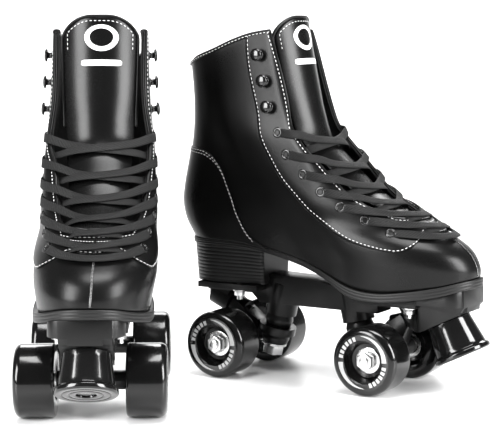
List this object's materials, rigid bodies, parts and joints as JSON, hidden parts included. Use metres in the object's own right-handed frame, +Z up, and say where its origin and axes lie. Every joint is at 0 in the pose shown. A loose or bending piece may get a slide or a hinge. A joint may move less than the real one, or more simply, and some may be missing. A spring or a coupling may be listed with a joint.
{
  "type": "quad roller skates",
  "caption": "Pair of high-top quad roller skates: laced boots on steering trucks with two wheels per axle and a toe stop.",
  "frame": {"origin": "middle of the pair's box on the floor", "axes": "+Z up; -Y is the way the right skate's toe points; +X from the right skate to the left one, along the pair's longest extent"},
  "size_m": [0.3865, 0.3384, 0.313],
  "materials": {
    "leatherette": "semi-gloss, fine grain",
    "leatherette_trim": "semi-gloss, stitched in white",
    "tongue_leatherette": "gloss",
    "lining_cloth": "matt knit",
    "insole_board": "matt",
    "sole_rubber": "satin, ribbed edge",
    "heel_stack": "satin, fine layers",
    "black_enamel": "gloss enamel",
    "lace_weave": "flat weave",
    "plate_black": "moulded, satin",
    "zinc_steel": "bright zinc",
    "stop_rubber": "gloss",
    "urethane_cushion": "satin",
    "cup_nylon": "satin",
    "hanger_black": "satin black",
    "axle_steel": "ground",
    "wheel_urethane": "gloss cast urethane",
    "bearing_steel": "polished"
  },
  "bodies": {
    "right_boot": {"right_upper": "leatherette", "right_overlays": "leatherette_trim", "right_lining": "lining_cloth", "right_insole": "insole_board", "right_outsole": "sole_rubber", "right_heel_block": "heel_stack", "right_tongue": "tongue_leatherette", "right_eyelets": "black_enamel", "right_lace_hooks": "black_enamel", "right_lace": "lace_weave", "right_base_plate": "plate_black", "right_mounting_bolts": "zinc_steel", "right_toe_stop": "stop_rubber", "right_kingpins": "zinc_steel", "right_cushions": "urethane_cushion", "right_pivot_cups": "cup_nylon"},
    "right_front_truck": {"right_front_hanger": "hanger_black", "right_front_axle": "axle_steel", "right_front_axle_nuts": "zinc_steel"},
    "right_front_outer_wheel_set": {"right_front_outer_wheel": "wheel_urethane", "right_front_outer_bearings": "bearing_steel"},
    "right_front_inner_wheel_set": {"right_front_inner_wheel": "wheel_urethane", "right_front_inner_bearings": "bearing_steel"},
    "right_rear_truck": {"right_rear_hanger": "hanger_black", "right_rear_axle": "axle_steel", "right_rear_axle_nuts": "zinc_steel"},
    "right_rear_outer_wheel_set": {"right_rear_outer_wheel": "wheel_urethane", "right_rear_outer_bearings": "bearing_steel"},
    "right_rear_inner_wheel_set": {"right_rear_inner_wheel": "wheel_urethane", "right_rear_inner_bearings": "bearing_steel"},
    "left_boot": {"left_upper": "leatherette", "left_overlays": "leatherette_trim", "left_lining": "lining_cloth", "left_insole": "insole_board", "left_outsole": "sole_rubber", "left_heel_block": "heel_stack", "left_tongue": "tongue_leatherette", "left_eyelets": "black_enamel", "left_lace_hooks": "black_enamel", "left_lace": "lace_weave", "left_base_plate": "plate_black", "left_mounting_bolts": "zinc_steel", "left_toe_stop": "stop_rubber", "left_kingpins": "zinc_steel", "left_cushions": "urethane_cushion", "left_pivot_cups": "cup_nylon"},
    "left_front_truck": {"left_front_hanger": "hanger_black", "left_front_axle": "axle_steel", "left_front_axle_nuts": "zinc_steel"},
    "left_front_outer_wheel_set": {"left_front_outer_wheel": "wheel_urethane", "left_front_outer_bearings": "bearing_steel"},
    "left_front_inner_wheel_set": {"left_front_inner_wheel": "wheel_urethane", "left_front_inner_bearings": "bearing_steel"},
    "left_rear_truck": {"left_rear_hanger": "hanger_black", "left_rear_axle": "axle_steel", "left_rear_axle_nuts": "zinc_steel"},
    "left_rear_outer_wheel_set": {"left_rear_outer_wheel": "wheel_urethane", "left_rear_outer_bearings": "bearing_steel"},
    "left_rear_inner_wheel_set": {"left_rear_inner_wheel": "wheel_urethane", "left_rear_inner_bearings": "bearing_steel"}
  },
  "joints": [
    {"name": "right_front_steer", "type": "hinge", "parent": "right_boot", "child": "right_front_truck", "pos_m": [-0.13375, -0.05284, 0.038], "axis": [0, -0.9135, 0.4067], "range_deg": [-7, 7], "stiffness_Nm_per_rad": 40, "deforming": ["right_cushions"]},
    {"name": "right_front_outer_spin", "type": "hinge", "parent": "right_front_truck", "child": "right_front_outer_wheel_set", "pos_m": [-0.17725, -0.08349, 0.029], "axis": [1, 0, 0], "continuous": true},
    {"name": "right_front_inner_spin", "type": "hinge", "parent": "right_front_truck", "child": "right_front_inner_wheel_set", "pos_m": [-0.09025, -0.08349, 0.029], "axis": [1, 0, 0], "continuous": true},
    {"name": "right_rear_steer", "type": "hinge", "parent": "right_boot", "child": "right_rear_truck", "pos_m": [-0.13375, 0.03186, 0.038], "axis": [0, 0.9135, 0.4067], "range_deg": [-7, 7], "stiffness_Nm_per_rad": 40, "deforming": ["right_cushions"]},
    {"name": "right_rear_outer_spin", "type": "hinge", "parent": "right_rear_truck", "child": "right_rear_outer_wheel_set", "pos_m": [-0.17725, 0.06251, 0.029], "axis": [1, 0, 0], "continuous": true},
    {"name": "right_rear_inner_spin", "type": "hinge", "parent": "right_rear_truck", "child": "right_rear_inner_wheel_set", "pos_m": [-0.09025, 0.06251, 0.029], "axis": [1, 0, 0], "continuous": true},
    {"name": "left_skate_lift", "type": "slide", "parent": "right_boot", "child": "left_boot", "axis": [0, 0, 1], "range_m": [0, 0.35]},
    {"name": "left_front_steer", "type": "hinge", "parent": "left_boot", "child": "left_front_truck", "pos_m": [0.09153, 0.04278, 0.038], "axis": [0.7653, -0.4989, 0.4067], "range_deg": [-7, 7], "stiffness_Nm_per_rad": 40, "deforming": ["left_cushions"]},
    {"name": "left_front_outer_spin", "type": "hinge", "parent": "left_front_truck", "child": "left_front_outer_wheel_set", "pos_m": [0.14096, 0.06249, 0.029], "axis": [0.5461, 0.8377, 0], "continuous": true},
    {"name": "left_front_inner_spin", "type": "hinge", "parent": "left_front_truck", "child": "left_front_inner_wheel_set", "pos_m": [0.09345, -0.01039, 0.029], "axis": [0.5461, 0.8377, 0], "continuous": true},
    {"name": "left_rear_steer", "type": "hinge", "parent": "left_boot", "child": "left_rear_truck", "pos_m": [0.02057, 0.08904, 0.038], "axis": [-0.7653, 0.4989, 0.4067], "range_deg": [-7, 7], "stiffness_Nm_per_rad": 40, "deforming": ["left_cushions"]},
    {"name": "left_rear_outer_spin", "type": "hinge", "parent": "left_rear_truck", "child": "left_rear_outer_wheel_set", "pos_m": [0.01865, 0.14222, 0.029], "axis": [0.5461, 0.8377, 0], "continuous": true},
    {"name": "left_rear_inner_spin", "type": "hinge", "parent": "left_rear_truck", "child": "left_rear_inner_wheel_set", "pos_m": [-0.02886, 0.06934, 0.029], "axis": [0.5461, 0.8377, 0], "continuous": true}
  ]
}
